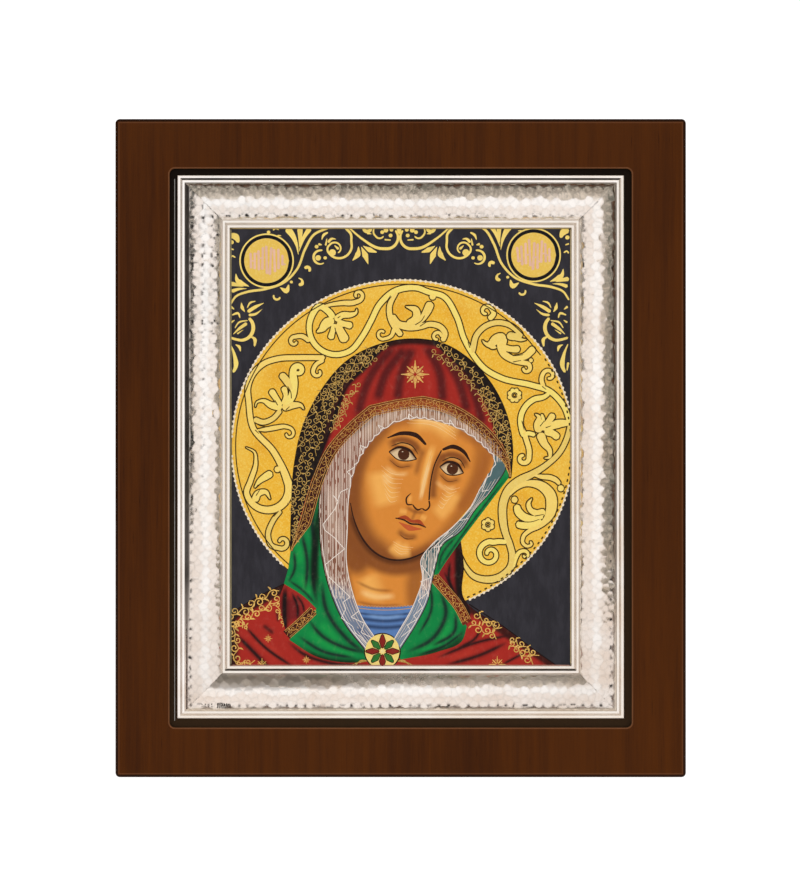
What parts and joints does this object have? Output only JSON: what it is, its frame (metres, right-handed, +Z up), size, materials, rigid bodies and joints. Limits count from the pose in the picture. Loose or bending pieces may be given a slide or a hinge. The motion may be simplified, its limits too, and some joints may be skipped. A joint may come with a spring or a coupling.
{
  "type": "silver icon",
  "caption": "Wall icon: a dark stained wooden board with a hammered silver frame set in its recess round a painted panel of a veiled figure.",
  "frame": {"origin": "centre of the board's flat back face, where it lies against the wall", "axes": "+Z up along the board's height, +Y out of the back into the wall, so the picture faces -Y; +X to the right of someone facing the picture"},
  "size_m": [0.26, 0.0249, 0.3],
  "materials": {
    "stained_wood": "dark stain under a satin varnish",
    "hammered_silver": "hammered and polished silver, darker in the grooves",
    "painted_panel": "painted in many colours with gold, under a satin varnish"
  },
  "bodies": {
    "root": {"wooden_board": "stained_wood", "silver_frame": "hammered_silver", "icon_panel": "painted_panel"}
  },
  "joints": []
}
